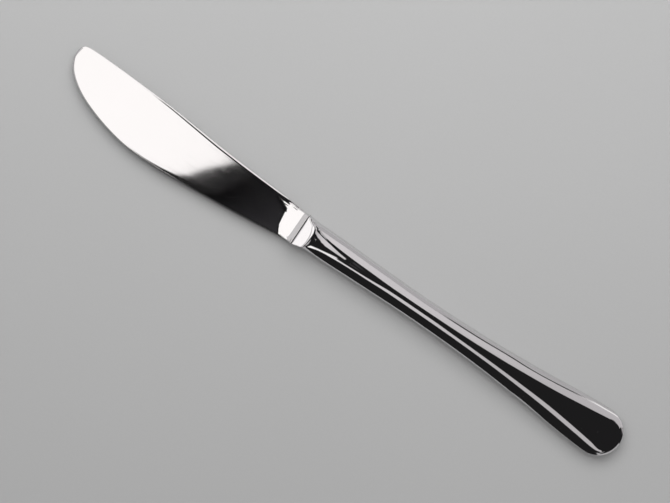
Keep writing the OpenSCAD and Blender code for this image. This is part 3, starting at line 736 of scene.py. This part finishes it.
blade_steel = polished_steel("blade_steel", (0.83, 0.82, 0.82), roughness=0.055, scratch=0.5,
                             grind_turn=0.0, grind=0.15, streak=0.3)
handle_steel = polished_steel("handle_steel", (0.81, 0.8, 0.81), roughness=0.07, scratch=0.4,
                              grind_turn=math.pi / 2, grind=0.2, streak=0.0)
edge_steel = ground_steel("ground_edge")
blade.data.materials.append(blade_steel)
blade.data.materials.append(edge_steel)
for shell in (upper_shell, lower_shell):
    shell.data.materials.append(handle_steel)
braze.data.materials.append(braze_metal())
tang_cement.data.materials.append(cement())

# The bevel's faces take the ground finish. The last two faces of the mesh close its ends.
FIRST_BEVEL = len(ROUND_LINES) + len(FACET_LINES) + len(FLAT_LINES)
RING = 2 * (FIRST_BEVEL + len(BEVEL_LINES)) - 1
for polygon in blade.data.polygons[:-2]:
    line = polygon.index % RING
    rib = polygon.index // RING
    if FIRST_BEVEL <= line <= RING - FIRST_BEVEL - 1 and rib > STEP_RIBS + KNOT_RIBS:
        polygon.material_index = 1

# Floor
FLOOR_HALF = 3.0
floor_mesh = bpy.data.meshes.new("floor")
floor_mesh.from_pydata([(-FLOOR_HALF, -FLOOR_HALF, 0), (FLOOR_HALF, -FLOOR_HALF, 0),
                        (FLOOR_HALF, FLOOR_HALF, 0), (-FLOOR_HALF, FLOOR_HALF, 0)], [], [(0, 1, 2, 3)])
floor = linked("floor", floor_mesh)
floor.data.materials.append(floor_paper())

# Camera. The picture's middle lies on the knife's axis, a little behind the joint, and the camera leans
# towards the side of the blade's back.
PICTURE_RUN = 14.2
PICTURE_SCALE = 2.845
PICTURE_WIDE = 670
CAMERA_DISTANCE = 600
CAMERA_LEAN = math.radians(7.5)
AXIS_ANGLE = math.radians(34.234)
SENSOR = 36

camera_data = bpy.data.cameras.new("camera")
camera_data.sensor_width = SENSOR
camera_data.lens = SENSOR * PICTURE_SCALE * CAMERA_DISTANCE / PICTURE_WIDE
camera_data.clip_start, camera_data.clip_end = 0.01, 20
camera = linked("camera", camera_data)
bpy.context.scene.camera = camera
target = Vector(placed([-JOINT_GAP - PICTURE_RUN, 0, 0]).tolist())
right = Vector((-math.cos(AXIS_ANGLE), -math.sin(AXIS_ANGLE), 0))
up = Vector((math.sin(AXIS_ANGLE), -math.cos(AXIS_ANGLE), 0))
lean = Matrix.Rotation(CAMERA_LEAN, 3, "X")
axes = lean @ Matrix((right, up, Vector((0, 0, 1)))).transposed()
camera.matrix_world = Matrix.Translation(target + axes.col[2] * CAMERA_DISTANCE * MM) @ axes.to_4x4()


# Light. Panels are seen in reflections only, and lamps light what isn't metal.

def glow(name, colour, strength, soft):
    """Even light that fades over a soft margin at the panel's edges. A margin is (low, high), and may go on
    with where the low one starts and how much of the light is left before it."""
    shader = Shader(name)
    coordinates = shader.node("ShaderNodeTexCoord")
    split = shader.node("ShaderNodeSeparateXYZ", {"Vector": coordinates.outputs["Generated"]})
    fade = None
    for axis, margin in zip("XY", soft):
        low, high, start, least = (*margin, 0, 0)[:4]
        value = split.outputs[axis]
        share = shader.math("MULTIPLY", shader.ramp(value, start, max(low, start + 0.001), least, 1),
                            shader.ramp(value, 1, 1 - max(high, 0.001)))
        fade = share if fade is None else shader.math("MULTIPLY", fade, share)
    power = shader.math("MULTIPLY", fade, strength)
    light = shader.node("ShaderNodeEmission", {"Color": (*colour, 1), "Strength": power})
    return shader.finish(light.outputs["Emission"])


def sheet(name, corners, colour, strength, soft=((0, 0), (0, 0))):
    """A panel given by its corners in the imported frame, in metres."""
    mesh = bpy.data.meshes.new(name)
    mesh.from_pydata(corners, [], [tuple(range(len(corners)))])
    made = linked(name, mesh)
    made.data.materials.append(glow(name, colour, strength, soft))
    made.visible_camera = False
    made.visible_diffuse = False
    made.visible_shadow = False
    return made


# The softbox over the tip, with the slanted border that the blade shows, and the paler wall past it
CEILING = 0.7
WALL_Y = -0.3
WARM = (1, 0.977, 0.968)
ROSE = (1, 0.975, 0.985)
PALE_ROSE = (1, 0.98, 0.985)
CREAM = (1, 0.985, 0.98)


def ceiling(name, corners, drop, colour, strength, soft=((0, 0), (0, 0))):
    """A level sheet, that far under the ceiling."""
    sheet(name, [(x, y, CEILING - drop) for x, y in corners], colour, strength, soft)


def wall(name, x_ends, z_ends, colour, strength):
    """An upright sheet on the side of the blade's back."""
    (low_x, high_x), (low, high) = x_ends, z_ends
    sheet(name, [(low_x, WALL_Y, low), (high_x, WALL_Y, low), (high_x, WALL_Y, high), (low_x, WALL_Y, high)],
          colour, strength)


ceiling("tip_panel", (
    (0.1155, 0.132), (0.19, 0.03), (0.179, -0.05), (0.17, -0.2), (0.13, -0.45), (0.12, -1.0), (0.5, -1.0),
    (0.5, 0.56), (0.26, 0.56), (0.17, 0.41), (0.2, 0.25), (0.155, 0.224), (0.131, 0.205), (0.1305, 0.16),
    (0.128, 0.1445), (0.122, 0.138)), 0, WARM, 1.2)
ceiling("ramp_panel", (
    (0.12, 0.36), (0.42, 0.36), (0.42, 0.3), (0.75, 0.25), (0.75, 0.585), (0.42, 0.585), (0.36, 0.5),
    (0.12, 0.41)), 0.01, WARM, 1.2)
ceiling("bevel_panel", ((0.24, 0.61), (1.3, 0.61), (1.3, 1.2), (0.24, 1.2)), 0.02, (1, 0.98, 0.98), 0.5)
ceiling("heel_glow", ((-0.02, 0.1), (0.1, 0.1), (0.1, 0.3), (-0.02, 0.3)), 0, (0.95, 0.92, 1), 0.05,
        ((0, 0.8), (0, 0)))
ceiling("tip_ceiling", ((0.5, -1.0), (1.3, -1.0), (1.3, 1.196), (0.5, 0.6)), 0, ROSE, 0.66)
sheet("back_panel", [(-1.64, -0.7217, 0.5845), (0.762, -0.7217, 0.5845), (0.762, -0.3479, 0.8611),
                     (-1.64, -0.3479, 0.8611)], (1, 0.965, 0.975), 0.95, ((0.773, 0.07, 0.588, 0.58), (0, 0)))
sheet("low_tip_panel", [(1.35, -1.2, 0.03), (1.35, 1.2, 0.03), (1.35, 1.2, 0.7), (1.35, -1.2, 0.7)], ROSE, 0.66)
wall("low_wall", (-0.142, 0.025), (0.005, 0.195), PALE_ROSE, 0.47)
wall("wall_front", (-0.065, 0.025), (0.195, 0.243), ROSE, 0.47)
wall("wall_tip", (0.025, 0.4), (0.005, 0.35), CREAM, 1.0)
wall("low_wall_end", (-0.6, -0.142), (0.005, 0.165), PALE_ROSE, 0.47)
wall("wall_end", (-0.6, -0.142), (0.165, 0.238), CREAM, 0.98)
# Pale walls for the steel in the other views. In the photo's view the left one also shows as a thin
# grey rim round the end of the butt.
sheet("left_wall", [(-1.494, 0.131, 0.05), (-0.95, 1.16, 0.05), (-0.95, 1.16, 1.0), (-1.494, 0.131, 1.0)],
      PALE_ROSE, 0.45)
sheet("right_wall", [(1.449, 0.388, 0.05), (0.388, 1.449, 0.05), (0.388, 1.449, 0.95), (1.449, 0.388, 0.95)],
      PALE_ROSE, 0.45)


def lamp(name, place, size, power):
    """A soft lamp over the floor that shines straight down."""
    light = bpy.data.lights.new(name, "AREA")
    light.shape = "RECTANGLE"
    light.size, light.size_y = size
    light.energy = power
    made = linked(name, light)
    made.location = place
    made.visible_glossy = False
    made.visible_camera = False
    return made


lamp("near_lamp", (0.25, -0.47, 0.5), (0.62, 0.8), 2.7)
lamp("far_lamp", (0.5, -1.12, 1.2), (2.4, 2.1), 18.7)

world = bpy.data.worlds.new("studio")
bpy.context.scene.world = world
world.use_nodes = True
nodes, links = world.node_tree.nodes, world.node_tree.links
nodes.clear()
out = nodes.new("ShaderNodeOutputWorld")
background = nodes.new("ShaderNodeBackground")
links.new(background.outputs["Background"], out.inputs["Surface"])
rays = nodes.new("ShaderNodeLightPath")
FLOOR_FILL, BACKDROP, MIRRORED = (0.25, 0.25, 0.25, 1), (0.55, 0.55, 0.55, 1), (0.014, 0.0138, 0.0142, 1)
choose = nodes.new("ShaderNodeMix")
choose.data_type = "RGBA"
links.new(rays.outputs["Is Camera Ray"], choose.inputs["Factor"])
choose.inputs["A"].default_value = FLOOR_FILL
choose.inputs["B"].default_value = BACKDROP
mirrored = nodes.new("ShaderNodeMix")
mirrored.data_type = "RGBA"
links.new(rays.outputs["Is Glossy Ray"], mirrored.inputs["Factor"])
links.new(choose.outputs["Result"], mirrored.inputs["A"])
mirrored.inputs["B"].default_value = MIRRORED
links.new(mirrored.outputs["Result"], background.inputs["Color"])

bpy.context.scene.view_settings.view_transform = "Standard"
